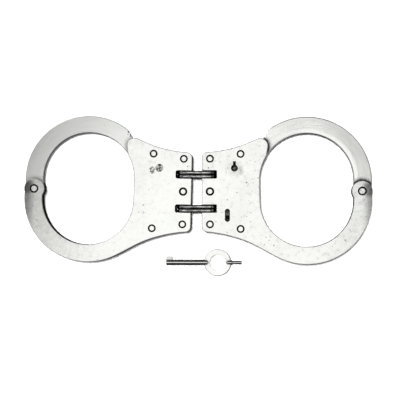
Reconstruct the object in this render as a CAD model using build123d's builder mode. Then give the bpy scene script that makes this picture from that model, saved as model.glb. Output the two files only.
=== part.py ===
"""Hinged handcuffs with their key: two cuffs joined by a pair of laminated hinge links.

The pair lies flat. X runs from the left cuff to the right one, Y from the fixed arms to the
swinging strands, and Z up. The origin is midway between the two hinge axes, on the surface
that the cuffs lie on. Both cuffs are one design: the left one is the right one turned over,
half a turn about the Y axis, so its keyhole faces down. The links fit their pins loosely, and
the left cuff has settled a little askew in the play.
"""

from build123d import *
from math import atan, cos, degrees, radians, sin, tan
import os

# ---- driving dimensions, in millimetres and degrees ----

# thickness, from the resting surface up
plate_t = 2.3
plate_gap = 4.0
case_t = 2 * plate_t + plate_gap
mid_z = case_t / 2
inner_t = 3.4                     # pieces that move between the plates
edge_round = 0.5                  # polished rim of the cheek plates

# wrist opening and arms
pivot = (106.8, 0.0)              # axis of the swinging strand
knuckle_r = 6.7
knuckle_inset = 1.5               # from the knuckle's rim to the corner where it meets the arm
wrist_upper = (71.2, 7.4)         # centre of the strand's inner arc
wrist_upper_r = 30.2
wrist_lower = (71.3, -5.7)        # centre of the fixed arm's inner arc
wrist_lower_r = 30.1
arm_centre = (71.4, -5.4)
arm_outer_r = 41.85
droop_x = 106.0                   # past this line the plates bend in towards the strand
droop_r = 150.0
arm_tangent_angle = 245.3         # where the flared lower edge runs into the arm
neck_round = 4.0

# case
case_edge = 3.3                   # hinge end of the case, from the middle of the hinge
case_corner_r = 3.5
top_corner_y = 25.4
bottom_corner_y = -26.0
nose_centre = (41.4, 29.5)
nose_r = 5.0
nose_start, nose_end = 111.8, -18.5
frame_inset = 0.5                 # the middle frame stands back from the plates' rim

# hinge
hinge_x = 8.75
link_y = 11.1
link_plate_t = 2.4
link_gap = 0.1
link_end_r = 4.1
link_round = 0.9
slot_w = 5.5
slot_end = 13.3
slot_round = 0.8
blind_slot_end = 13.9             # the blind plate's slots are cut longer, with rounder corners
blind_slot_round = 1.4
hinge_pin_r = 1.5
hinge_pin_len = 14.4
hinge_play = 0.25                 # radial, between a hinge pin and a link
hinge_skew = -1.35                # turn of the left cuff on the table, about its hinge
running_play = 0.05

# rivets
rivet_places = [
    (hinge_x, 0.0),
    (hinge_x, 21.3),
    (hinge_x, -21.3),
    (28.6, 24.3),
    (28.6, -24.3),
]
rivet_shank_r = 1.5
rivet_head_r = 2.1
rivet_flat_r = 1.6
recess_r = 2.6
wide_recess_r = 2.8               # round the middle rivet by the hinge
recess_depth = 1.0
head_below = 0.05                 # the head's flat lies this far under the plate's face
head_slope = 0.7
head_round = 0.3
fixed_play = 0.03
pivot_shank_r = 2.0
pivot_head_r = 2.4
pivot_flat_r = 1.9
pivot_recess_r = 2.9

# strand
strand_t = 3.5
strand_outer = (71.4, 6.6)        # centre of the outer arc: the band widens towards the pivot
strand_outer_r = 41.9
strand_face_r = 0.7               # rounding of the edges on the keyhole side
strand_back_r = 0.5
roll_w, roll_r = 3.2, 22.0        # that side also rolls off gently towards the wrist
tooth_spare = 0.2                 # the notches are cut this far past the tips
boss_r = 6.3
tongue_t = 3.3
tongue_inner_r = 66.6             # the toothed tongue is concentric with the pivot
tongue_start, tongue_end = 173.5, 190.5
tongue_end_round = 1.6

# ratchet
tip_r = 72.6
tooth_depth = 1.1
root_r = tip_r - tooth_depth
pitch = 2.25
first_notch = 146.0
notch_count = 20
rake = 16.0                       # of the locking face, from the radius
root_flat = 0.3
tip_flat = 0.3
channel_r = 73.1                  # what stands still in the case stays outside this radius
pawl_root_r = 73.5                # where the pawl's teeth run into its body

# lock
pawl_pin = (31.2, 7.5)
pawl_pin_r = 1.4
pawl_boss_r = 2.6
pawl_tail_r = 0.7
pawl_lift = 5.5                   # the pawl is held this far off the teeth
pawl_notches = (17, 18, 19)
mesh_play = 0.12
pin_recess_depth = 1.0
key_post = (24.6, 15.1)
post_r = 1.0
post_collar_r = 1.4
post_collar_top = plate_t + 0.3
post_staked_r = 2.55
post_below = 1.2                  # the post ends this far under the keyhole plate's face
oval_mark = (29.3, 13.6)          # shallow oval sink beside the staked end of the key post
oval_mark_len, oval_mark_w, oval_mark_depth = 4.8, 2.4, 0.2
oval_mark_taper = 45.0
keyhole_r = 2.27
keyhole_slot_w = 1.9
keyhole_slot_top = 4.5
lock_slot_x = 20.05
lock_slot_w = 3.3
lock_slot_low, lock_slot_high = -19.7, -11.2
cavity_left, cavity_left_upper = 15.8, 19.4
cavity_low, cavity_high = -21.5, 20.8
cavity_step_low, cavity_step_high = 1.5, 5.0
rib_play, rib_w, rib_len = 0.25, 1.2, 12.0
slide_left, slide_right = 17.3, 22.7
slide_low, slide_high = -20.9, -2.0
slide_travel = 2.5
shoulder_right = 28.3
shoulder_low, shoulder_root_low = -5.6, -7.4
shoulder_root_right = 25.0
slide_corner_r = 0.6
peg_hole_y = -16.7
peg_hole_len, peg_hole_w = 3.8, 2.6
detent_y, detent_notch_r = -15.0, 0.7
pawl_spring_t, pawl_spring_bend = 0.6, 6.0
pawl_spring_path = [(26.3, -24.3), (26.3, -17.0), (27.5, -12.0), (27.3, -8.4)]
detent_t, detent_bend = 0.4, 0.8
detent_path = [(16.3, -23.3), (16.3, -16.2), (16.85, detent_y), (16.3, -13.8), (16.3, -9.0)]
foot_slot_w, foot_slot_depth = 0.7, 3.2

# key
key_y = -46.1
key_barrel_r = 1.8
key_bore_r = 1.15
key_bore_depth = 9.0
key_tip_x = -20.3
key_barrel_end = 7.7
bit_len = 3.8
bit_height = 2.3
bit_t = 1.5
bit_corner_r = 0.9
bow_x = 13.3
bow_outer_r = 8.8
bow_inner_r = 5.1
bow_t = 1.9
bow_rim_round = 0.4
peg_boss_r = 1.6
peg_boss_start, peg_boss_end = 18.7, 22.6
peg_r = 1.1
peg_end = 29.0

tip_chamfer = 0.25                # ends of the key post and of the key's peg
past_all = 100.0                  # longer than any piece of a cuff

ON_TOP = (Align.CENTER, Align.CENTER, Align.MIN)
RIGHT_BELOW = (Align.MIN, Align.MAX, Align.MIN)
LEFT_BELOW = (Align.MAX, Align.MAX, Align.MIN)
saved = []


def polar(centre, radius, angle):
    """The point at this radius and angle about a centre."""
    return (centre[0] + radius * cos(radians(angle)), centre[1] + radius * sin(radians(angle)))


def save(name, piece):
    """Labels a finished piece with its node's name and writes its STEP."""
    piece.part.label = name
    export_step(piece.part, f"parts/{name}.step")
    saved.append(name)


def turned_over(piece):
    """The same piece on the left cuff: half a turn about the Y axis, then the hinge's skew."""
    with BuildPart() as turned:
        with Locations(Location((-hinge_x, 0, 0), (0, 0, hinge_skew))):
            with Locations((hinge_x, 0, case_t)):
                add(piece.part, rotation=(0, 180, 0))
    return turned


def save_both(name, piece):
    """Writes a piece of the right cuff, and its twin on the left cuff."""
    save(f"right_{name}", piece)
    save(f"left_{name}", turned_over(piece))


# ---- outlines ----


def case_block(inset=0.0):
    """Draws the case as far as the wrist opening: flared edges, round nose, straight hinge end.

    An inset draws the edges in, except at the wrist opening.
    """
    edge = case_edge + inset
    arm_start = polar(arm_centre, arm_outer_r - inset, arm_tangent_angle)
    nose_from = polar(nose_centre, nose_r - inset, nose_start)
    top_points = [(edge, top_corner_y - inset), (16.2, 26.7 - inset), (26.2, 29.0 - inset), nose_from]
    low_points = [
        arm_start,
        (34.6, -33.3 + inset),
        (20.5, -28.6 + inset),
        (edge, bottom_corner_y + inset),
    ]
    rise = radians(nose_start - 90)
    fall = radians(arm_tangent_angle - 270)
    with BuildLine() as outline:
        top = Spline(*top_points, tangents=[(1, 0.07), (cos(rise), sin(rise))])
        nose = CenterArc(nose_centre, nose_r - inset, nose_start, nose_end - nose_start)
        cheek = ThreePointArc(nose @ 1, (45.25 - inset, 22.0), (44.3, 14.5))
        Polyline(cheek @ 1, wrist_lower, arm_start)
        bottom = Spline(*low_points, tangents=[(-cos(fall), -sin(fall)), (-1, 0.07)])
        Line(bottom @ 1, top @ 0)
    make_face(outline.edges())


def wrist_opening():
    """Cuts the wrist opening: the strand's inner arc above, the arm's below, straight between."""
    with Locations(wrist_upper):
        Circle(wrist_upper_r, mode=Mode.SUBTRACT)
    with Locations(wrist_lower):
        Circle(wrist_lower_r, mode=Mode.SUBTRACT)
    sides = [
        (wrist_upper[0] - wrist_upper_r, wrist_upper[1]),
        (wrist_lower[0] - wrist_lower_r, wrist_lower[1]),
        (wrist_lower[0] + wrist_lower_r, wrist_lower[1]),
        (wrist_upper[0] + wrist_upper_r, wrist_upper[1]),
    ]
    Polygon(*sides, align=None, mode=Mode.SUBTRACT)


def round_hinge_corners(sketch):
    """Rounds the two outer corners at the hinge end of the case."""
    corners = sketch.vertices().group_by(Axis.X)[0]
    fillet(corners, radius=case_corner_r)


def notch_corners(angle, low_r, high_r, play):
    """Corners of the gap between two ratchet teeth, from one radius to another about the pivot.

    The locking wall leans by the rake and the other wall takes up the rest of the pitch. Play
    draws both walls in, which gives the pawl tooth that fits the gap.
    """
    tooth_run = radians(pitch) * root_r - root_flat - tip_flat - tooth_depth * tan(radians(rake))
    slope = atan(tooth_depth / tooth_run)

    def lock_wall(r):
        return (r - root_r) * tan(radians(rake)) - play / cos(radians(rake))

    def sloping_wall(r):
        return -root_flat - (r - root_r) / tan(slope) + play / sin(slope)

    corners = []
    for r, along in (
        (low_r, lock_wall(low_r)),
        (high_r, lock_wall(high_r)),
        (high_r, sloping_wall(high_r)),
        (low_r, sloping_wall(low_r)),
    ):
        corners.append(polar(pivot, r, angle + degrees(along / r)))
    return corners


# ---- the two cheek plates and the frame between them ----


def upper_rim(plate):
    """Edges round the upper face, which is flat and then bends down past the droop line."""
    upward = [face for face in plate.faces() if face.normal_at().Z > 0.5]
    edges = [edge for face in upward for edge in face.edges()]
    return ShapeList([edge for edge in edges if sum(edge.is_same(other) for other in edges) == 1])


def plain_plate():
    """The upper cheek plate without its key openings: case, arm and knuckle in one piece."""
    with BuildPart() as plate:
        with BuildSketch(Plane.XY.offset(case_t - plate_t)) as outline:
            with Locations(arm_centre):
                Circle(arm_outer_r)
            with Locations((arm_centre[0], 0)):
                Rectangle(past_all, past_all, align=(Align.CENTER, Align.MIN), mode=Mode.SUBTRACT)
            case_block()
            wrist_opening()
            with Locations(pivot):
                Circle(knuckle_r)
            neck = (pivot[0] - knuckle_r + knuckle_inset, wrist_lower[1], 0)
            fillet(outline.vertices().sort_by_distance(neck)[0], radius=neck_round)
            round_hinge_corners(outline)
        extrude(amount=plate_t)
        with BuildSketch(Plane.XZ):
            with Locations((droop_x, case_t - droop_r)):
                Rectangle(droop_r, droop_r, align=(Align.MIN, Align.MIN))
                Circle(droop_r, mode=Mode.SUBTRACT)
        extrude(amount=past_all, both=True, mode=Mode.SUBTRACT)
        fillet(upper_rim(plate), radius=edge_round)
        with BuildSketch(Plane.XY.offset(case_t - plate_t)) as slots:
            for side in (-1, 1):
                with Locations((slot_end, side * link_y)):
                    Rectangle(slot_end, slot_w, align=(Align.MAX, Align.CENTER))
            inner_corners = slots.vertices().group_by(Axis.X)[-1]
            fillet(inner_corners, radius=slot_round)
        extrude(amount=plate_t, mode=Mode.SUBTRACT)
        with Locations(*[(x, y, case_t) for x, y in rivet_places]):
            CounterBoreHole(rivet_shank_r + fixed_play, recess_r, recess_depth)
        with Locations((hinge_x, 0, case_t - recess_depth)):
            Cylinder(wide_recess_r, recess_depth, align=ON_TOP, mode=Mode.SUBTRACT)
        with Locations((*pivot, case_t)):
            CounterBoreHole(pivot_shank_r + fixed_play, pivot_recess_r, recess_depth)
        with Locations((*pawl_pin, case_t - plate_t)):
            Cylinder(pawl_pin_r + fixed_play, pin_recess_depth, align=ON_TOP, mode=Mode.SUBTRACT)
    return plate


def keyhole_plate(plain):
    """Upper plate: keyhole round the post, and the slot for the key's peg."""
    slot_len = lock_slot_high - lock_slot_low
    with BuildPart() as plate:
        add(plain.part)
        with BuildSketch(Plane.XY.offset(case_t - plate_t)):
            with Locations(key_post):
                Circle(keyhole_r)
                Rectangle(keyhole_slot_w, keyhole_slot_top, align=(Align.CENTER, Align.MIN))
            with Locations((lock_slot_x, (lock_slot_low + lock_slot_high) / 2)):
                SlotOverall(slot_len, lock_slot_w, rotation=90)
        extrude(amount=plate_t, mode=Mode.SUBTRACT)
    return plate


def blind_plate(plain):
    """Lower plate: closed but for the countersunk seat that the key post is staked into."""
    with BuildPart() as plate:
        mirror(objects=plain.part, about=Plane.XY.offset(mid_z))
        with BuildSketch() as slots:
            for side in (-1, 1):
                with Locations((blind_slot_end, side * link_y)):
                    Rectangle(slot_w, slot_w, align=(Align.MAX, Align.CENTER))
            fillet(slots.vertices().group_by(Axis.X)[-1], radius=blind_slot_round)
        extrude(amount=plate_t, mode=Mode.SUBTRACT)
        with Locations((*key_post, 0)):
            Cylinder(post_collar_r + fixed_play, plate_t, align=ON_TOP, mode=Mode.SUBTRACT)
            Cone(
                post_staked_r + fixed_play,
                post_collar_r + fixed_play,
                post_staked_r - post_collar_r,
                align=ON_TOP,
                mode=Mode.SUBTRACT,
            )
        with BuildSketch():
            with Locations(oval_mark):
                Ellipse(oval_mark_w / 2, oval_mark_len / 2)
        extrude(amount=oval_mark_depth, taper=oval_mark_taper, mode=Mode.SUBTRACT)
    return plate


def centre_frame():
    """The frame between the plates: it holds the hinge pins and walls the lock in."""
    cavity = [
        (cavity_left, cavity_low),
        (cavity_left, cavity_step_low),
        (cavity_left_upper, cavity_step_high),
        (cavity_left_upper, cavity_high),
        (pivot[0], cavity_high),
        (pivot[0], cavity_low),
    ]
    with BuildPart() as frame:
        with BuildSketch(Plane.XY.offset(plate_t)) as outline:
            case_block(frame_inset)
            round_hinge_corners(outline)
            with Locations(pivot):
                Circle(channel_r, mode=Mode.SUBTRACT)
            Polygon(*cavity, align=None, mode=Mode.SUBTRACT)
            for side in (-1, 1):
                with Locations((slot_end, side * link_y)):
                    Rectangle(slot_end, slot_w, align=(Align.MAX, Align.CENTER), mode=Mode.SUBTRACT)
            with Locations(*rivet_places):
                Circle(rivet_shank_r + fixed_play, mode=Mode.SUBTRACT)
            with Locations((slide_right + rib_play, cavity_low)):
                Rectangle(rib_w, rib_len, align=(Align.MIN, Align.MIN))
            for foot in (pawl_spring_path[0], detent_path[0]):
                with Locations((foot[0], cavity_low)):
                    Rectangle(
                        foot_slot_w,
                        foot_slot_depth,
                        align=(Align.CENTER, Align.MAX),
                        mode=Mode.SUBTRACT,
                    )
        extrude(amount=plate_gap)
        for side in (-1, 1):
            with Locations((hinge_x, side * link_y, mid_z)):
                Cylinder(
                    hinge_pin_r + fixed_play,
                    hinge_pin_len + 2 * fixed_play,
                    rotation=(90, 0, 0),
                    mode=Mode.SUBTRACT,
                )
    return frame


# ---- what holds the cuff together ----


def rivet(shank_r, head_r, flat_r):
    """One rivet on the Z axis: a shank with a domed-off flat head in each plate's recess."""
    low = head_below
    seat = recess_depth - fixed_play
    profile = [
        (0, low),
        (flat_r, low),
        (head_r, low + head_slope),
        (head_r, seat),
        (shank_r, seat),
        (shank_r, case_t - seat),
        (head_r, case_t - seat),
        (head_r, case_t - low - head_slope),
        (flat_r, case_t - low),
        (0, case_t - low),
    ]
    with BuildPart() as one:
        with BuildSketch(Plane.XZ):
            Polygon(*profile, align=None)
        revolve(axis=Axis.Z)
        ends = one.faces().filter_by(GeomType.PLANE).sort_by(Axis.Z)
        fillet(ends[0].edges() + ends[-1].edges(), radius=head_round)
    return one


def case_rivets():
    """The five rivets of one case, as separate solids."""
    one = rivet(rivet_shank_r, rivet_head_r, rivet_flat_r)
    with BuildPart() as rivets:
        with Locations(*rivet_places):
            add(one.part)
    return rivets


def strand_rivet():
    """The larger rivet that the strand swings on."""
    one = rivet(pivot_shank_r, pivot_head_r, pivot_flat_r)
    with BuildPart() as placed:
        with Locations(pivot):
            add(one.part)
    return placed


def hinge_pins():
    """Two pins along Y in the frame, one through each hinge link."""
    with BuildPart() as pins:
        for side in (-1, 1):
            with Locations((hinge_x, side * link_y, mid_z)):
                Cylinder(hinge_pin_r, hinge_pin_len, rotation=(90, 0, 0))
    return pins


# ---- the swinging strand ----


def strand():
    """Toothed strand: a band, the boss on its pivot, and the tongue with the ratchet."""
    face_z = mid_z + strand_t / 2
    roll_plane = Plane(origin=(*wrist_upper, 0), x_dir=(1, 0, 0), z_dir=(0, -1, 0))
    with BuildPart() as part:
        with Locations((*strand_outer, mid_z)):
            Cylinder(strand_outer_r, strand_t)
        with Locations((*wrist_upper, mid_z)):
            Cylinder(wrist_upper_r, past_all, mode=Mode.SUBTRACT)
        with BuildSketch(roll_plane):
            with Locations((wrist_upper_r + roll_w, face_z - roll_r)):
                Rectangle(2 * roll_w, roll_r, align=(Align.MAX, Align.MIN))
                Circle(roll_r, mode=Mode.SUBTRACT)
        revolve(axis=Axis((*wrist_upper, 0), (0, 0, 1)), mode=Mode.SUBTRACT)
        rims = part.edges().filter_by(lambda edge: edge.is_closed).group_by(Axis.Z)
        outer_rim = rims[-1].sort_by(SortBy.LENGTH)[-1]
        fillet([*rims[1], outer_rim], radius=strand_face_r)
        back_rims = part.edges().filter_by(lambda edge: edge.is_closed).group_by(Axis.Z)[0]
        fillet(back_rims, radius=strand_back_r)
        with Locations((strand_outer[0], 0, 0)):
            Box(past_all, past_all, case_t, align=RIGHT_BELOW, mode=Mode.SUBTRACT)
        with Locations((*strand_outer, 0)):
            Box(past_all, past_all, case_t, align=LEFT_BELOW, mode=Mode.SUBTRACT)
        with Locations((*pivot, 0)):
            Cylinder(tip_r, case_t, align=ON_TOP, mode=Mode.INTERSECT)
        with BuildSketch(Plane.XY.offset(mid_z - tongue_t / 2)) as tongue:
            with BuildLine():
                outer = CenterArc(pivot, tip_r, tongue_start, tongue_end - tongue_start)
                inner = CenterArc(pivot, tongue_inner_r, tongue_start, tongue_end - tongue_start)
                Line(outer @ 0, inner @ 0)
                Line(outer @ 1, inner @ 1)
            make_face()
            fillet(tongue.vertices().group_by(Axis.Y)[0], radius=tongue_end_round)
        extrude(amount=tongue_t)
        with Locations((*pivot, mid_z)):
            Cylinder(boss_r, strand_t)
        with BuildSketch(Plane.XY):
            for number in range(notch_count):
                angle = first_notch + number * pitch
                Polygon(*notch_corners(angle, root_r, tip_r + tooth_spare, 0), align=None)
        extrude(amount=case_t, mode=Mode.SUBTRACT)
        with Locations((*pivot, mid_z)):
            Cylinder(pivot_shank_r + running_play, case_t, mode=Mode.SUBTRACT)
    return part


# ---- the lock inside the case ----


def leaf_spring(path, thickness, bend):
    """A leaf spring: a thin strip on edge, bent along its path from the foot in the frame."""
    with BuildPart() as leaf:
        with BuildSketch(Plane.XY.offset(mid_z - inner_t / 2)):
            with BuildLine() as line:
                FilletPolyline(*path, radius=bend)
            trace(line.line, line_width=thickness)
        extrude(amount=inner_t)
    return leaf


def pawl():
    """Rocking pawl: three ratchet teeth below its pin and the tail that the key's bit pushes.

    It is drawn about its pin with the teeth home, on a plane turned by the lift that holds
    them clear of the strand.
    """
    turn = radians(-pawl_lift)
    body_points = [
        (33.7, 8.6),
        (32.6, 13.0),
        (31.4, 17.8),
        (28.4, 18.2),
        (27.5, 15.2),
        (28.9, 10.6),
        (28.7, 6.6),
        (29.9, -1.6),
        (30.6, -12.9),
        (34.5, -13.4),
        (33.9, -9.5),
        (33.5, -4.0),
        (33.6, 3.0),
    ]
    plane = Plane(
        origin=(*pawl_pin, mid_z - inner_t / 2),
        x_dir=(cos(turn), sin(turn), 0),
        z_dir=(0, 0, 1),
    )
    with BuildPart() as part:
        with BuildSketch(plane) as face:
            Polygon(*[(x - pawl_pin[0], y - pawl_pin[1]) for x, y in body_points], align=None)
            fillet(face.vertices().group_by(Axis.Y)[-1], radius=pawl_tail_r)
            Circle(pawl_boss_r)
            for number in pawl_notches:
                angle = first_notch + number * pitch
                tooth = notch_corners(angle, root_r + tooth_spare, pawl_root_r, mesh_play)
                Polygon(*[(x - pawl_pin[0], y - pawl_pin[1]) for x, y in tooth], align=None)
            Circle(pawl_pin_r + running_play, mode=Mode.SUBTRACT)
        extrude(amount=inner_t)
    return part


def pawl_pin_piece():
    """The pin that the pawl rocks on, with its ends in blind recesses of the plates."""
    reach = plate_gap + 2 * pin_recess_depth - 2 * fixed_play
    with BuildPart() as pin:
        with Locations((*pawl_pin, mid_z)):
            Cylinder(pawl_pin_r, reach)
    return pin


def double_lock_slide():
    """Bar under the peg slot. The key's peg pushes it up, and its shoulder backs the pawl."""
    with BuildPart() as slide:
        with BuildSketch(Plane.XY.offset(mid_z - inner_t / 2)) as face:
            with BuildLine():
                Polyline(
                    (slide_left, slide_low),
                    (slide_right, slide_low),
                    (slide_right, shoulder_root_low),
                    (shoulder_root_right, shoulder_low),
                    (shoulder_right, shoulder_low),
                    (shoulder_right, slide_high),
                    (slide_left, slide_high),
                    close=True,
                )
            make_face()
            fillet(face.vertices().group_by(Axis.Y)[-1], radius=slide_corner_r)
            with Locations((lock_slot_x, peg_hole_y)):
                SlotOverall(peg_hole_len, peg_hole_w, mode=Mode.SUBTRACT)
            with Locations((slide_left, detent_y), (slide_left, detent_y - slide_travel)):
                Circle(detent_notch_r, mode=Mode.SUBTRACT)
        extrude(amount=inner_t)
    return slide


def key_post_piece():
    """The post in the keyhole that a hollow key fits over, staked into the blind plate."""
    with BuildPart() as post:
        with Locations((*key_post, 0)):
            Cone(post_staked_r, post_collar_r, post_staked_r - post_collar_r, align=ON_TOP)
            Cylinder(post_collar_r, post_collar_top, align=ON_TOP)
            Cylinder(post_r, case_t - post_below, align=ON_TOP)
        chamfer(post.faces().sort_by(Axis.Z)[-1].edges(), length=tip_chamfer)
    return post


# ---- hinge links ----


def link_plate(x_middle, y_middle):
    """One plate of a hinge link: round ends about the two hinge pins, with polished edges."""
    with BuildPart() as link:
        with BuildSketch(Plane.XZ.offset(-y_middle - link_plate_t / 2)):
            with Locations((x_middle, mid_z)):
                SlotCenterToCenter(2 * hinge_x, 2 * link_end_r)
        extrude(amount=link_plate_t)
        rims = link.faces().filter_by(Axis.Y).edges()
        fillet(rims, radius=link_round)
        for side in (-1, 1):
            with Locations((x_middle + side * hinge_x, y_middle, mid_z)):
                Cylinder(
                    hinge_pin_r + hinge_play,
                    2 * link_plate_t,
                    rotation=(90, 0, 0),
                    mode=Mode.SUBTRACT,
                )
    return link


# ---- key ----


def key_barrel():
    """Hollow barrel with the bit at its tip. Its round end is slotted over the bow."""
    straight = key_barrel_end - key_barrel_r - key_tip_x
    with BuildPart() as barrel:
        with Locations((key_tip_x, key_y, key_barrel_r)):
            Cylinder(key_barrel_r, straight, rotation=(0, 90, 0), align=ON_TOP)
        with Locations((key_tip_x + straight, key_y, key_barrel_r)):
            Sphere(key_barrel_r)
        with BuildSketch(Plane.XY.offset(key_barrel_r - bit_t / 2)) as bit:
            with Locations((key_tip_x, key_y)):
                Rectangle(bit_len, key_barrel_r + bit_height, align=(Align.MIN, Align.MIN))
            fillet(bit.vertices().group_by(Axis.Y)[-1], radius=bit_corner_r)
        extrude(amount=bit_t)
        with Locations((key_tip_x, key_y, key_barrel_r)):
            Cylinder(
                key_bore_r,
                key_bore_depth,
                rotation=(0, 90, 0),
                align=ON_TOP,
                mode=Mode.SUBTRACT,
            )
        with Locations((bow_x, key_y, key_barrel_r)):
            Cylinder(bow_outer_r + fixed_play, bow_t + 2 * fixed_play, mode=Mode.SUBTRACT)
    return barrel


def key_bow():
    """Flat ring of the key."""
    with BuildPart() as bow:
        with Locations((bow_x, key_y, key_barrel_r)):
            Cylinder(bow_outer_r, bow_t)
        rims = bow.faces().filter_by(Axis.Z).edges()
        fillet(rims, radius=bow_rim_round)
        with Locations((bow_x, key_y, key_barrel_r)):
            Cylinder(bow_inner_r, bow_t, mode=Mode.SUBTRACT)
    return bow


def key_peg():
    """Peg that works the double lock, on a round-ended boss slotted over the bow."""
    with BuildPart() as peg:
        with Locations((peg_boss_start + peg_boss_r, key_y, key_barrel_r)):
            Sphere(peg_boss_r)
            Cylinder(
                peg_boss_r,
                peg_boss_end - peg_boss_start - peg_boss_r,
                rotation=(0, 90, 0),
                align=ON_TOP,
            )
        with Locations((peg_boss_end, key_y, key_barrel_r)):
            Cylinder(peg_r, peg_end - peg_boss_end, rotation=(0, 90, 0), align=ON_TOP)
        chamfer(peg.faces().sort_by(Axis.X)[-1].edges(), length=tip_chamfer)
        with Locations((bow_x, key_y, key_barrel_r)):
            Cylinder(bow_outer_r + fixed_play, bow_t + 2 * fixed_play, mode=Mode.SUBTRACT)
    return peg


def main():
    """Builds each piece once, writes it, and turns the right cuff's pieces over for the left."""
    os.makedirs("parts", exist_ok=True)
    plain = plain_plate()
    save_both("keyhole_plate", keyhole_plate(plain))
    save_both("blind_plate", blind_plate(plain))
    save_both("centre_frame", centre_frame())
    save_both("case_rivets", case_rivets())
    save_both("strand_rivet", strand_rivet())
    save_both("hinge_pins", hinge_pins())
    save_both("strand", strand())
    save_both("pawl", pawl())
    save_both("pawl_pin", pawl_pin_piece())
    save_both("pawl_spring", leaf_spring(pawl_spring_path, pawl_spring_t, pawl_spring_bend))
    save_both("detent_spring", leaf_spring(detent_path, detent_t, detent_bend))
    save_both("double_lock_slide", double_lock_slide())
    save_both("key_post", key_post_piece())
    half = (link_plate_t + link_gap) / 2
    for row, row_y in (("rear", link_y), ("front", -link_y)):
        side = 1 if row_y > 0 else -1
        between_pins = -row_y * tan(radians(hinge_skew)) / 2
        save(f"{row}_link_outer_plate", link_plate(between_pins, row_y + side * half))
        save(f"{row}_link_inner_plate", link_plate(between_pins, row_y - side * half))
    save("key_barrel", key_barrel())
    save("key_bow", key_bow())
    save("key_peg", key_peg())
    print(len(saved), "nodes")


main()
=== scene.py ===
"""Hinged handcuffs laid flat beside their key on a pale table, seen from nearly straight above.

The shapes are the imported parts. This script gives each part its metal finish, and adds the table, a
paper wall round it, the soft studio light and the camera. Lengths are in metres, and places on the
object come from the frame, whose origin is on the table under the middle of the hinge.
"""

import math

import bpy
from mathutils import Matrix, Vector


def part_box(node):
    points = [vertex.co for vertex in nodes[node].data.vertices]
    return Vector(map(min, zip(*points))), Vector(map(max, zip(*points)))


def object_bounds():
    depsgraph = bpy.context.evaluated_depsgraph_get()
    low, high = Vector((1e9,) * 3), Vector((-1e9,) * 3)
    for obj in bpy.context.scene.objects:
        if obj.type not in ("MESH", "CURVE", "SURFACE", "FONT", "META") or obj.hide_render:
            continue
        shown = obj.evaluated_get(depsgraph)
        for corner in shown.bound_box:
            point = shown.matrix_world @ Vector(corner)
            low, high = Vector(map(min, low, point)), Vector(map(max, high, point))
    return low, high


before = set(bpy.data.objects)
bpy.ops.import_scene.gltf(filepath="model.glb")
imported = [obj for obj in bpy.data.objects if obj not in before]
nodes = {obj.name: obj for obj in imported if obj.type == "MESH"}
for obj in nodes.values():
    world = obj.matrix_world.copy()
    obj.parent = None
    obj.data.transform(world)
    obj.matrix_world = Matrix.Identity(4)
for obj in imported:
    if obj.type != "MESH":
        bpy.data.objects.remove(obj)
cad_low, cad_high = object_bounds()

scene = bpy.context.scene
CUFFS = ("left", "right")

# ---------------------------------------------------------------- places read from the frame


def middle(node):
    """The middle of a piece's box."""
    low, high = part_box(node)
    return (low + high) / 2


table_z = cad_low.z
face_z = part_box("right_keyhole_plate")[1].z
back_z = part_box("right_blind_plate")[0].z
middle_z = (face_z + back_z) / 2
hinge_pin = {cuff: middle(cuff + "_hinge_pins") for cuff in CUFFS}
pivot = {cuff: middle(cuff + "_strand_rivet") for cuff in CUFFS}
key_post = {cuff: middle(cuff + "_key_post") for cuff in CUFFS}

# ways out and up along a cuff's own directions
PIVOT_TO_ARC_CENTRE = (-0.0356, 0.0069)
PIVOT_TO_KNUCKLE_RIM = (0.0048, 0.0012)
POST_TO_OVAL_SINK = (0.0047, -0.0015)
POST_TO_GAP = (-0.0002, 0.0024)
# a way across the table, the same on both cuffs
POST_TO_STAIN = (0.0020, -0.0014, 0.0)

# how far each mark reaches: whole within the first distance, gone past the second
SCUFFS_REACH = (0.003, 0.0080)
STAIN_REACH = (0.0015, 0.0052)
SINK_REACH = (0.0011, 0.0026)
PIVOT_SHADE_REACH = (0.004, 0.060)
KNUCKLE_SHADE_REACH = (0.0024, 0.0064)
GAP_REACH = (0.0009, 0.0015)

# heights above or below the cuffs' middle plane, where one surface gives way to the next
INNER_TO_OUTER_FACE = (0.00204, 0.00212)
HEAD_SIDE_TO_FLAT = (0.00421, 0.004245)
CASE_TO_STAKED_END = (0.00385, 0.00405)


def on_cuff(cuff, start, out, up):
    """The point a given way out from the hinge and up towards the strand, from a start point."""
    outward = (pivot[cuff] - hinge_pin[cuff]).normalized()
    upward = Vector((-outward.y, outward.x, 0.0))
    if upward.y <= 0:
        upward = -upward
    return start + outward * out + upward * up


def arc_centre(cuff):
    """About the centre of the strand's arcs, inside the wrist opening."""
    return on_cuff(cuff, pivot[cuff], *PIVOT_TO_ARC_CENTRE)


def knuckle_rim(cuff):
    """The knuckle's outer side, where shade is painted on the plate."""
    return on_cuff(cuff, pivot[cuff], *PIVOT_TO_KNUCKLE_RIM)


def oval_sink(cuff):
    """The middle of the shallow oval sink, beside the key post."""
    return on_cuff(cuff, key_post[cuff], *POST_TO_OVAL_SINK)


def staking_gap(cuff):
    """The gap that the staking has left at the top of the key post's end."""
    return on_cuff(cuff, key_post[cuff], *POST_TO_GAP)


def keyhole_stain(cuff):
    """The middle of the stain beside the keyhole."""
    return key_post[cuff] + Vector(POST_TO_STAIN)


# ---------------------------------------------------------------- node helpers


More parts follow.
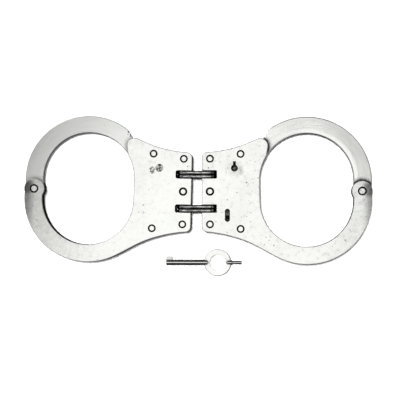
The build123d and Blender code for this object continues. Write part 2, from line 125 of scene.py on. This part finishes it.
class Finish:
    """A material's node tree, with one short call for each kind of node."""

    def __init__(self, name, metallic=1.0):
        self.material = bpy.data.materials.new(name)
        self.material.use_nodes = True
        self.tree = self.material.node_tree
        self.shader = self.tree.nodes["Principled BSDF"]
        self.shader.inputs["Metallic"].default_value = metallic
        self.place = self.add("ShaderNodeTexCoord").outputs["Object"]

    def add(self, kind, **settings):
        """A new node with these settings."""
        node = self.tree.nodes.new(kind)
        for key, value in settings.items():
            setattr(node, key, value)
        return node

    def feed(self, socket, value):
        """Links a socket to another node's output, or sets it to a plain value."""
        if isinstance(value, bpy.types.NodeSocket):
            self.tree.links.new(value, socket)
        else:
            socket.default_value = value

    def math(self, operation, first, second=0.0):
        node = self.add("ShaderNodeMath", operation=operation)
        self.feed(node.inputs[0], first)
        self.feed(node.inputs[1], second)
        return node.outputs[0]

    def plus(self, first, second):
        return self.math("ADD", first, second)

    def minus(self, first, second):
        return self.math("SUBTRACT", first, second)

    def times(self, first, second):
        return self.math("MULTIPLY", first, second)

    def larger(self, first, second):
        return self.math("MAXIMUM", first, second)

    def vector_math(self, operation, first, second):
        node = self.add("ShaderNodeVectorMath", operation=operation)
        self.feed(node.inputs[0], first)
        self.feed(node.inputs[1], second)
        return node

    def split(self, vector):
        """A vector's X, Y and Z."""
        parts = self.add("ShaderNodeSeparateXYZ")
        self.feed(parts.inputs[0], vector)
        return parts.outputs

    def ramp(self, value, start, end, low=0.0, high=1.0):
        """Turns start..end of a value into low..high, held at both ends."""
        node = self.add("ShaderNodeMapRange", interpolation_type="SMOOTHSTEP")
        self.feed(node.inputs["Value"], value)
        settings = {"From Min": start, "From Max": end, "To Min": low, "To Max": high}
        for key, number in settings.items():
            node.inputs[key].default_value = number
        return node.outputs["Result"]

    def mix(self, amount, first, second):
        """The first colour where the amount is 0, the second where it is 1."""
        node = self.add("ShaderNodeMix", data_type="RGBA")
        self.feed(node.inputs["Factor"], amount)
        for socket, color in ((node.inputs[6], first), (node.inputs[7], second)):
            self.feed(socket, color if isinstance(color, bpy.types.NodeSocket) else (*color, 1.0))
        return node.outputs[2]

    def tint(self, color, other, amount, strength):
        """A colour turned towards another one, by an amount times a strength."""
        return self.mix(self.times(amount, strength), color, other)

    def stretched(self, scale, turn=0.0):
        """The part's own coordinates, turned about Z and then stretched."""
        node = self.add("ShaderNodeMapping")
        self.feed(node.inputs["Vector"], self.place)
        node.inputs["Rotation"].default_value = (0.0, 0.0, turn)
        node.inputs["Scale"].default_value = scale
        return node.outputs["Vector"]

    def noise(self, scale=1.0, detail=4.0, vector=None, roughness=0.55):
        """Noise over the part's own coordinates in cycles per metre, or over a vector."""
        node = self.add("ShaderNodeTexNoise")
        self.feed(node.inputs["Vector"], self.place if vector is None else vector)
        node.inputs["Scale"].default_value = scale
        node.inputs["Detail"].default_value = detail
        node.inputs["Roughness"].default_value = roughness
        return node.outputs["Fac"]

    def around(self, centre, radial, angular):
        """Coordinates round a vertical axis, so that noise runs in arcs about it."""
        x, y, z = self.split(self.vector_math("SUBTRACT", self.place, tuple(centre)).outputs[0])
        squares = self.plus(self.times(x, x), self.times(y, y))
        joined = self.add("ShaderNodeCombineXYZ")
        self.feed(joined.inputs[0], self.times(self.math("SQRT", squares), radial))
        self.feed(joined.inputs[1], self.times(self.math("ARCTAN2", x, y), angular))
        self.feed(joined.inputs[2], self.times(z, radial))
        return joined.outputs[0]

    def near(self, centre, inner, outer):
        """1 within the inner distance of a point, 0 past the outer one, measured along the table."""
        offset = self.vector_math("SUBTRACT", self.place, tuple(centre)).outputs[0]
        flat = self.vector_math("MULTIPLY", offset, (1.0, 1.0, 0.0)).outputs[0]
        reach = self.vector_math("LENGTH", flat, (0.0, 0.0, 0.0)).outputs["Value"]
        return self.ramp(reach, inner, outer, 1.0, 0.0)

    def below(self, start, end):
        """1 up to the first distance above or below the cuffs' middle plane, 0 past the second."""
        height = self.math("ABSOLUTE", self.minus(self.split(self.place)[2], middle_z))
        return self.ramp(height, start, end, 1.0, 0.0)

    def scratches(self, scale, turn, thinness, kept):
        """Long thin lines: the level lines of stretched noise, kept only in patches."""
        along = self.noise(scale, detail=2.0, vector=self.stretched((0.14, 1.0, 1.0), turn))
        line = self.ramp(self.math("ABSOLUTE", self.minus(along, 0.5)), 0.0, thinness, 1.0, 0.0)
        return self.times(line, self.ramp(self.noise(scale * 1.7), kept, kept + 0.06))

    def crevice(self, distance, open_at, closed_at):
        """1 in narrow gaps, where shade is painted in, 0 on open faces."""
        node = self.add("ShaderNodeAmbientOcclusion", samples=8)
        node.inputs["Distance"].default_value = distance
        return self.ramp(node.outputs["AO"], closed_at, open_at, 1.0, 0.0)

    def worn_edge(self):
        """1 along edges, where handling polishes the finish: found from how a small round turns them."""
        rounded = self.add("ShaderNodeBevel", samples=4)
        rounded.inputs["Radius"].default_value = 0.0005
        true_face = self.add("ShaderNodeNewGeometry").outputs["Normal"]
        likeness = self.vector_math("DOT_PRODUCT", rounded.outputs[0], true_face).outputs["Value"]
        return self.ramp(likeness, 0.80, 0.995, 1.0, 0.0)

    def bump(self, height, depth, over=None):
        """The surface raised by a height times a depth, on top of an earlier bump if there is one."""
        node = self.add("ShaderNodeBump")
        self.feed(node.inputs["Height"], height)
        node.inputs["Distance"].default_value = depth
        node.inputs["Strength"].default_value = 1.0
        if over is not None:
            self.feed(node.inputs["Normal"], over)
        return node.outputs["Normal"]

    def done(self, color, rough, normal):
        """The finished material."""
        self.feed(self.shader.inputs["Base Color"], color)
        self.feed(self.shader.inputs["Roughness"], rough)
        self.feed(self.shader.inputs["Normal"], normal)
        return self.material


# ---------------------------------------------------------------- colours

NICKEL = (0.872, 0.880, 0.850)
NICKEL_DULL = (0.792, 0.800, 0.765)
NICKEL_DARK = (0.60, 0.605, 0.575)
KEY_NICKEL = (0.89, 0.90, 0.87)
KEY_NICKEL_DULL = (0.82, 0.83, 0.80)
BRASS_SHOWING = (0.62, 0.55, 0.38)
STEEL = (0.56, 0.56, 0.55)
STEEL_DULL = (0.42, 0.42, 0.41)
LINK_STEEL = (0.84, 0.84, 0.81)
LINK_DARK = (0.17, 0.17, 0.16)
HARDENED = (0.26, 0.26, 0.25)
HARDENED_DARK = (0.13, 0.13, 0.125)
STAKED = (0.60, 0.605, 0.585)
STAKED_PITS = (0.10, 0.10, 0.095)
BLUED = (0.13, 0.16, 0.24)
BLUED_STRAW = (0.34, 0.27, 0.17)
# painted shade for the knuckle's outer end
KNUCKLE_SHADE = (0.17, 0.17, 0.165)
# near black, for painted shade in crevices and on shaded faces
SHADE_BLACK = (0.016, 0.015, 0.014)
SPECK = (0.20, 0.20, 0.19)
TABLE_PAPER, TABLE_FIBRE = (0.90, 0.90, 0.90), (0.93, 0.93, 0.93)
WALL_PAPER, WALL_FIBRE = (0.90, 0.90, 0.90), (0.96, 0.96, 0.96)
BLACK = (0.0, 0.0, 0.0, 1.0)
WHITE = (1.0, 1.0, 1.0, 1.0)

# how much painted shade each strand gets in its narrow gaps, such as where it enters its case
STRAND_CREVICE_SHADE = {"left": 0.35, "right": 1.0}

# ---------------------------------------------------------------- finishes


def nickel_marks(finish, color, rough, face_shade, crevice_shade=1.0):
    """What every nickelled face has: pinhole specks, and painted shade in its crevices and on the faces
    given.
    """
    specks = finish.ramp(finish.noise(620.0, detail=2.0), 0.69, 0.75)
    specks = finish.times(specks, finish.ramp(finish.noise(55.0, detail=2.0), 0.46, 0.60))
    color = finish.tint(color, SPECK, specks, 0.75)
    # painted shade: crevices, and the faces given, are turned near black where shade falls
    gaps = finish.crevice(distance=0.0035, open_at=0.94, closed_at=0.72)
    painted_shade = finish.larger(finish.times(gaps, crevice_shade), face_shade)
    color = finish.mix(painted_shade, color, SHADE_BLACK)
    rough = finish.plus(rough, finish.times(painted_shade, 0.25))
    return color, rough, specks


def keyhole_wear(finish, cuff, mottle, color, rough):
    """The scuffs and the stain round the keyhole, where the key's barrel turns."""
    rings = finish.noise(vector=finish.around(key_post[cuff], radial=2600.0, angular=2.0))
    scuffs = finish.times(finish.ramp(rings, 0.42, 0.66), finish.near(key_post[cuff], *SCUFFS_REACH))
    spread = finish.near(keyhole_stain(cuff), *STAIN_REACH)
    stain = finish.times(spread, finish.ramp(mottle, 0.35, 0.6, 0.3, 1.0))
    color = finish.tint(color, NICKEL_DARK, scuffs, 0.45)
    color = finish.tint(color, STEEL_DULL, stain, 0.7)
    rough = finish.plus(rough, finish.times(scuffs, 0.12))
    return color, rough


def blind_side_pits_and_shade(finish, cuff, color, rough):
    """The pitted dark oval sink, and painted shade that darkens the arm towards the pivot."""
    spot = oval_sink(cuff)
    pitted = finish.ramp(finish.noise(700.0), 0.42, 0.56)
    pits = finish.times(pitted, finish.near(spot, *SINK_REACH))
    color = finish.tint(color, STAKED_PITS, pits, 0.85)
    rough = finish.plus(rough, finish.times(pits, 0.2))
    # painted shade: the arm darkens towards the pivot
    color = finish.tint(color, NICKEL_DARK, finish.near(pivot[cuff], *PIVOT_SHADE_REACH), 0.45)
    return color, rough


def cheek_plate(name, cuff, has_keyhole):
    """Tumbled nickel plate: faintly cloudy, with fine hairlines, a few specks and stray scratches."""
    finish = Finish(name)
    cloud = finish.noise(52.0, detail=5.0)
    mottle = finish.noise(330.0, detail=5.0)
    hairs = finish.noise(detail=3.0, vector=finish.stretched((260.0, 5200.0, 900.0), turn=0.5))
    cross_hairs = finish.noise(detail=3.0, vector=finish.stretched((5200.0, 320.0, 900.0), turn=0.9))
    long_lines = finish.scratches(70.0, turn=0.9, thinness=0.0016, kept=0.55)
    lines = finish.larger(long_lines, finish.scratches(95.0, turn=-0.6, thinness=0.0014, kept=0.58))
    cloudiness = 0.45 if has_keyhole else 0.16
    color = finish.tint(NICKEL, NICKEL_DULL, finish.ramp(cloud, 0.40, 0.72), cloudiness)
    color = finish.tint(color, NICKEL_DARK, finish.ramp(mottle, 0.55, 0.75), cloudiness)
    color = finish.tint(color, NICKEL_DARK, lines, 0.30)
    rough = finish.ramp(cloud, 0.3, 0.7, 0.18, 0.21)
    rough = finish.plus(rough, finish.ramp(mottle, 0.3, 0.8, 0.0, 0.05))
    rough = finish.minus(rough, finish.times(finish.worn_edge(), 0.06))
    # painted shade: the face towards the lock, between the plates, is painted near black
    face_shade = finish.below(*INNER_TO_OUTER_FACE)
    if has_keyhole:
        color, rough = keyhole_wear(finish, cuff, mottle, color, rough)
    else:
        color, rough = blind_side_pits_and_shade(finish, cuff, color, rough)
    # painted shade on the plate's outer end at the knuckle, where it turns from the light
    at_rim = finish.near(knuckle_rim(cuff), *KNUCKLE_SHADE_REACH)
    patch_mask = finish.times(at_rim, finish.ramp(mottle, 0.3, 0.7, 0.7, 1.0))
    color = finish.tint(color, KNUCKLE_SHADE, patch_mask, 0.85)
    color, rough, specks = nickel_marks(finish, color, rough, face_shade)
    wobble = finish.bump(finish.noise(75.0, detail=2.0), 0.00004)
    fine = finish.bump(finish.plus(hairs, cross_hairs), 0.0000020, wobble)
    scored = finish.bump(lines, -0.000006, fine)
    return finish.done(color, rough, finish.bump(specks, -0.00004, scored))


def strand_band(name, cuff):
    """The swinging strand: polished along its arc, with the rub marks of the case on its sides."""
    finish = Finish(name)
    centre = arc_centre(cuff)
    along = finish.noise(vector=finish.around(centre, radial=3200.0, angular=3.0))
    broad = finish.noise(detail=3.0, vector=finish.around(centre, radial=420.0, angular=2.0))
    cloud = finish.noise(36.0)
    rubs = finish.noise(detail=3.0, vector=finish.around(pivot[cuff], radial=2400.0, angular=6.0))
    rubs = finish.ramp(rubs, 0.60, 0.68)
    color = finish.tint(NICKEL, NICKEL_DULL, finish.ramp(broad, 0.42, 0.70), 0.18)
    color = finish.tint(color, NICKEL_DARK, finish.ramp(along, 0.56, 0.74), 0.15)
    color = finish.tint(color, NICKEL_DARK, rubs, 0.12)
    rough = finish.ramp(cloud, 0.3, 0.7, 0.18, 0.22)
    rough = finish.plus(rough, finish.ramp(along, 0.3, 0.8, 0.0, 0.06))
    rough = finish.minus(rough, finish.times(finish.worn_edge(), 0.06))
    color, rough, specks = nickel_marks(finish, color, rough, 0.0, STRAND_CREVICE_SHADE[cuff])
    wobble = finish.bump(finish.noise(60.0, detail=2.0), 0.00003)
    brushed = finish.bump(along, 0.0000030, wobble)
    return finish.done(color, rough, finish.bump(specks, -0.00004, brushed))


def frame_steel():
    """The spacer between the plates: nickelled over a linished edge, with painted shade along the joints.
    """
    finish = Finish("frame_steel")
    edge_lines = finish.noise(vector=finish.stretched((500.0, 500.0, 5200.0)))
    cloud = finish.noise(160.0, detail=5.0)
    color = finish.mix(finish.ramp(cloud, 0.35, 0.70), NICKEL_DULL, STEEL)
    color = finish.tint(color, STEEL_DULL, finish.ramp(edge_lines, 0.55, 0.75), 0.6)
    rough = finish.ramp(edge_lines, 0.3, 0.7, 0.24, 0.38)
    color, rough = nickel_marks(finish, color, rough, 0.0)[:2]
    return finish.done(color, rough, finish.bump(edge_lines, 0.000008))


def rivet_nickel():
    """Turned rivets: fine-grained, faintly hammered heads, with painted shade round their sides."""
    finish = Finish("rivet_nickel")
    grain = finish.noise(700.0, detail=5.0)
    dents = finish.noise(420.0, detail=2.0)
    color = finish.tint(NICKEL, NICKEL_DARK, finish.ramp(grain, 0.5, 0.75), 0.5)
    rough = finish.ramp(grain, 0.3, 0.7, 0.17, 0.27)
    # painted shade: the heads' sides are turned near black, as in a dark groove
    head_side_shade = finish.below(*HEAD_SIDE_TO_FLAT)
    color, rough = nickel_marks(finish, color, rough, head_side_shade)[:2]
    hammered = finish.bump(dents, 0.00006)
    return finish.done(color, rough, finish.bump(grain, 0.000004, hammered))


def link_steel():
    """Hinge links: drawn along their length, with painted shade in the hollows, and bright where they are
    worn.
    """
    finish = Finish("link_steel")
    drawn = finish.noise(vector=finish.stretched((260.0, 3800.0, 2400.0)))
    patch = finish.noise(130.0)
    patch_mask = finish.times(finish.ramp(drawn, 0.40, 0.62), finish.ramp(patch, 0.35, 0.60))
    color = finish.mix(patch_mask, LINK_DARK, LINK_STEEL)
    color = finish.mix(finish.worn_edge(), color, STEEL)
    rough = finish.ramp(drawn, 0.3, 0.7, 0.34, 0.22)
    # painted shade in the hollows
    color = finish.mix(finish.crevice(distance=0.0030, open_at=0.90, closed_at=0.50), color, SHADE_BLACK)
    return finish.done(color, rough, finish.bump(drawn, 0.000010))


def lock_steel():
    """Hardened lock parts: quench-mottled, with painted shade in their crevices."""
    finish = Finish("lock_steel")
    mottle = finish.noise(480.0, detail=5.0)
    cuts = finish.noise(detail=3.0, vector=finish.stretched((4200.0, 600.0, 600.0), turn=0.4))
    color = finish.mix(finish.ramp(mottle, 0.38, 0.62), HARDENED_DARK, HARDENED)
    color = finish.mix(finish.worn_edge(), color, STEEL)
    rough = finish.ramp(mottle, 0.3, 0.7, 0.26, 0.42)
    # painted shade in the crevices
    color = finish.mix(finish.crevice(distance=0.0030, open_at=0.85, closed_at=0.40), color, SHADE_BLACK)
    grained = finish.bump(cuts, 0.000006)
    return finish.done(color, rough, finish.bump(mottle, 0.000030, grained))


def key_post_steel(name, cuff):
    """The key post: hammered and pitted where its end is staked over the plate, dark inside the case, with
    painted shade in its crevices and the staking gap.
    """
    finish = Finish(name)
    pits = finish.noise(560.0, roughness=0.7)
    color = finish.mix(finish.ramp(pits, 0.44, 0.58), STAKED, STAKED_PITS)
    color = finish.mix(finish.below(*CASE_TO_STAKED_END), color, HARDENED)
    painted_shade = finish.times(finish.crevice(distance=0.0030, open_at=0.90, closed_at=0.60), 0.8)
    # painted shade in the staking gap as well
    gap = finish.near(staking_gap(cuff), *GAP_REACH)
    color = finish.mix(finish.larger(painted_shade, gap), color, SHADE_BLACK)
    rough = finish.ramp(pits, 0.35, 0.65, 0.20, 0.38)
    return finish.done(color, rough, finish.bump(pits, -0.00008))


def spring_steel():
    """Leaf springs blued by tempering, with straw tints where the heat was lower."""
    finish = Finish("spring_steel")
    heat = finish.noise(210.0, detail=3.0)
    rolled = finish.noise(detail=3.0, vector=finish.stretched((3600.0, 500.0, 4200.0)))
    color = finish.mix(finish.ramp(heat, 0.45, 0.68), BLUED, BLUED_STRAW)
    color = finish.tint(color, STEEL, finish.worn_edge(), 0.7)
    return finish.done(color, finish.ramp(rolled, 0.3, 0.7, 0.22, 0.34), finish.bump(rolled, 0.000004))


def key_nickel(name, turned):
    """The key: turning lines on the barrel or stamping grain on the bow, worn through at the edges."""
    finish = Finish(name)
    scale = (5200.0, 300.0, 300.0) if turned else (700.0, 3600.0, 700.0)
    smooth, coarse = (0.07, 0.13) if turned else (0.16, 0.24)
    lines = finish.noise(detail=3.0, vector=finish.stretched(scale))
    cloud = finish.noise(140.0)
    edge = finish.worn_edge()
    color = finish.mix(finish.ramp(cloud, 0.38, 0.66), KEY_NICKEL, KEY_NICKEL_DULL)
    color = finish.tint(color, NICKEL_DARK, finish.ramp(lines, 0.56, 0.74), 0.35)
    worn_through = finish.times(edge, finish.ramp(cloud, 0.52, 0.60))
    color = finish.mix(worn_through, color, BRASS_SHOWING)
    rough = finish.ramp(lines, 0.3, 0.7, smooth, coarse)
    rough = finish.minus(rough, finish.times(edge, 0.05))
    color, rough, specks = nickel_marks(finish, color, rough, 0.0)
    fine = finish.bump(lines, 0.0000040)
    return finish.done(color, rough, finish.bump(specks, -0.00003, fine))


def give(material, *names):
    """Puts one material on each of these pieces."""
    for name in names:
        slots = nodes[name].data.materials
        slots.clear()
        slots.append(material)


def give_finishes():
    """Every piece's finish. The marked pieces have their own on each cuff, and the rest share theirs."""
    plain_steel = frame_steel()
    rivets = rivet_nickel()
    links = link_steel()
    hard = lock_steel()
    blued = spring_steel()
    for cuff in CUFFS:
        give(cheek_plate(cuff + "_keyhole_plate_nickel", cuff, True), cuff + "_keyhole_plate")
        give(cheek_plate(cuff + "_blind_plate_nickel", cuff, False), cuff + "_blind_plate")
        give(strand_band(cuff + "_strand_nickel", cuff), cuff + "_strand")
        give(plain_steel, cuff + "_centre_frame")
        give(rivets, cuff + "_case_rivets", cuff + "_strand_rivet")
        give(hard, cuff + "_pawl", cuff + "_pawl_pin", cuff + "_double_lock_slide", cuff + "_hinge_pins")
        give(key_post_steel(cuff + "_key_post_steel", cuff), cuff + "_key_post")
        give(blued, cuff + "_pawl_spring", cuff + "_detent_spring")
    for end in ("rear", "front"):
        give(links, end + "_link_inner_plate", end + "_link_outer_plate")
    give(key_nickel("key_barrel_nickel", True), "key_barrel", "key_peg")
    give(key_nickel("key_bow_nickel", False), "key_bow")


# ---------------------------------------------------------------- table and wall

TABLE_HALF, TABLE_GAP = 3.0, 0.00005
WALL_R, WALL_TOP, WALL_SIDES = 2.6, 2.4, 48


def stand(name, corners, faces, paper):
    """Adds a piece of the studio, made of one paper."""
    mesh = bpy.data.meshes.new(name)
    mesh.from_pydata(corners, [], faces)
    mesh.materials.append(paper)
    piece = bpy.data.objects.new(name, mesh)
    scene.collection.objects.link(piece)
    return piece


def pale_paper():
    """The table's paper, which is clear from below."""
    paper = Finish("pale_paper", metallic=0.0)
    fibres = paper.noise(350.0, detail=5.0)
    paper.shader.inputs["Specular IOR Level"].default_value = 0.1
    paper.shader.inputs["Roughness"].default_value = 0.9
    paper.feed(paper.shader.inputs["Base Color"], paper.mix(fibres, TABLE_PAPER, TABLE_FIBRE))
    underside = paper.add("ShaderNodeNewGeometry").outputs["Backfacing"]
    paper.feed(paper.shader.inputs["Alpha"], paper.minus(1.0, underside))
    return paper.material


def lit_paper():
    """The wall's paper, which glows evenly as if lit from behind."""
    paper = Finish("lit_paper", metallic=0.0)
    fibres = paper.noise(8.0, detail=5.0)
    paper.feed(paper.shader.inputs["Emission Color"], paper.mix(fibres, WALL_PAPER, WALL_FIBRE))
    paper.shader.inputs["Emission Strength"].default_value = 1.0
    paper.shader.inputs["Base Color"].default_value = BLACK
    return paper.material


def lay_table():
    """A plain pale sheet just under everything, which the metal doesn't mirror."""
    z = table_z - TABLE_GAP
    corners = [(x * TABLE_HALF, y * TABLE_HALF, z) for x, y in ((-1, -1), (1, -1), (1, 1), (-1, 1))]
    table = stand("table", corners, [(0, 1, 2, 3)], pale_paper())
    table.visible_glossy = False
    table.visible_shadow = False
    return table


def stand_wall():
    """A pale wall right round the table, behind the object when it is seen from low down."""
    corners, faces = [], []
    for side in range(WALL_SIDES):
        angle = 2 * math.pi * side / WALL_SIDES
        x, y = WALL_R * math.cos(angle), WALL_R * math.sin(angle)
        corners += [(x, y, table_z), (x, y, WALL_TOP)]
        after = (side + 1) % WALL_SIDES
        faces.append((2 * side, 2 * after, 2 * after + 1, 2 * side + 1))
    wall = stand("wall", corners, faces, lit_paper())
    # only the camera sees it, so it neither lights the metal nor shows in it
    for ray in ("glossy", "diffuse", "shadow", "transmission"):
        setattr(wall, "visible_" + ray, False)


# ---------------------------------------------------------------- light

SUN_FROM = (-0.09, 0.13, 1.0)
SUN_STRENGTH, SUN_WIDTH = 4.4, math.radians(12.0)

# how bright the room looks: everywhere, and added to that at its two sides and in a low band all round
ROOM_DARK, ROOM_SIDES, ROOM_LOW = 0.016, 0.38, 0.17
# as parts of a direction of length 1: how far to a side the sides begin and are whole, the height of
# the band's middle, and how far above or below that it is whole and is gone
SIDES_BEGIN, SIDES_WHOLE = 0.36, 0.70
BAND_MIDDLE, BAND_WHOLE, BAND_GONE = 0.10, 0.09, 0.14


def add_lamp(light, place, lit):
    """Hangs a light at a place, aimed at the origin. It lights the objects given, or everything if None."""
    lamp = bpy.data.objects.new(light.name, light)
    lamp.location = place
    lamp.rotation_mode = "QUATERNION"
    lamp.rotation_quaternion = (-Vector(place)).to_track_quat("-Z", "Y")
    lamp.visible_camera = False
    scene.collection.objects.link(lamp)
    if lit is not None:
        group = bpy.data.collections.new(light.name + "_lights")
        for thing in lit:
            group.objects.link(thing)
        lamp.light_linking.receiver_collection = group


def disc_light(name, place, diameter, radiance, lit):
    """A round soft box, given by how bright its face looks."""
    light = bpy.data.lights.new(name, "AREA")
    light.shape = "DISK"
    light.size = diameter
    light.energy = radiance * math.pi * math.pi * diameter * diameter / 4
    add_lamp(light, place, lit)


def panel_light(name, place, width, height, radiance, lit=None):
    """A flat soft box, given by how bright its face looks."""
    light = bpy.data.lights.new(name, "AREA")
    light.shape = "RECTANGLE"
    light.size = width
    light.size_y = height
    light.energy = radiance * math.pi * width * height
    add_lamp(light, place, lit)


def table_sun(table):
    """A soft far light on the table only: it bleaches it, and leaves short shadows at the lower right."""
    light = bpy.data.lights.new("table_sun", "SUN")
    light.energy = SUN_STRENGTH
    light.angle = SUN_WIDTH
    add_lamp(light, SUN_FROM, [table])


def hang_lights(table):
    """A round soft box overhead, with a broad one in its place for the key's barrel and peg. A window
    lights everything from one side, and two panels light the cuffs and the key's bow from front and back.
    """
    rounded = [nodes["key_barrel"], nodes["key_peg"]]
    others = [nodes[name] for name in sorted(nodes) if nodes[name] not in rounded]
    flat = [nodes[name] for name in sorted(nodes) if name.split("_")[0] in CUFFS or name == "key_bow"]
    disc_light("overhead_disc", (-0.045, -0.035, 0.9), diameter=0.575, radiance=1.17, lit=[table] + others)
    panel_light("side_window", (-1.0, 1.0, 1.0), width=0.8, height=0.8, radiance=0.8)
    panel_light("front_panel", (0.0, -1.15, 1.15), width=2.4, height=1.6, radiance=0.46, lit=flat)
    panel_light("back_panel", (0.0, 1.15, 1.15), width=2.4, height=1.6, radiance=0.46, lit=flat)
    panel_light("key_panel", (0.0, -0.05, 1.0), width=0.9, height=0.7, radiance=0.90, lit=rounded)
    table_sun(table)


def studio_room():
    """A dim room, lighter at its two sides and in a low band all round."""
    world = bpy.data.worlds.new("studio")
    world.use_nodes = True
    tree = world.node_tree

    def node(kind, values, **settings):
        made = tree.nodes.new(kind)
        for key, value in settings.items():
            setattr(made, key, value)
        for socket, value in zip(made.inputs, values):
            if isinstance(value, bpy.types.NodeSocket):
                tree.links.new(value, socket)
            else:
                socket.default_value = value
        return made.outputs

    direction = tree.nodes.new("ShaderNodeTexCoord").outputs["Generated"]
    parts = node("ShaderNodeSeparateXYZ", (direction,))
    across = node("ShaderNodeMath", (parts["X"],), operation="ABSOLUTE")[0]
    sides = (across, SIDES_BEGIN, SIDES_WHOLE, 0.0, ROOM_SIDES)
    sides = node("ShaderNodeMapRange", sides, interpolation_type="SMOOTHSTEP")[0]
    above = node("ShaderNodeMath", (parts["Z"], BAND_MIDDLE), operation="SUBTRACT")[0]
    height = node("ShaderNodeMath", (above,), operation="ABSOLUTE")[0]
    low = (height, BAND_WHOLE, BAND_GONE, ROOM_LOW, 0.0)
    low = node("ShaderNodeMapRange", low, interpolation_type="SMOOTHSTEP")[0]
    both = node("ShaderNodeMath", (sides, low), operation="MAXIMUM")[0]
    shade = node("ShaderNodeMath", (both, ROOM_DARK), operation="ADD")[0]
    tree.links.new(shade, tree.nodes["Background"].inputs["Strength"])
    tree.nodes["Background"].inputs["Color"].default_value = WHITE
    scene.world = world


# ---------------------------------------------------------------- camera

# the width seen at a distance, and the camera's place above the plates and its turns about X and Y
VIEW_DISTANCE, VIEW_WIDTH = 0.7, 0.25872
VIEW_X, VIEW_Y = 0.0495, -0.0283
TURN_X, TURN_Y = math.radians(1.86), math.radians(3.86)
SENSOR_WIDTH, FARTHEST = 36.0, 20.0


def set_camera():
    """The view from nearly straight above, a little from the right and from the front."""
    lens = bpy.data.cameras.new("camera")
    lens.sensor_width = SENSOR_WIDTH
    lens.lens = SENSOR_WIDTH * VIEW_DISTANCE / VIEW_WIDTH
    lens.clip_end = FARTHEST
    camera = bpy.data.objects.new("camera", lens)
    camera.location = (VIEW_X, VIEW_Y, face_z + VIEW_DISTANCE)
    camera.rotation_euler = (TURN_X, TURN_Y, 0.0)
    scene.collection.objects.link(camera)
    scene.camera = camera


give_finishes()
table = lay_table()
stand_wall()
hang_lights(table)
studio_room()
# colours are shown as they are, with no film curve
scene.view_settings.view_transform = "Standard"
set_camera()
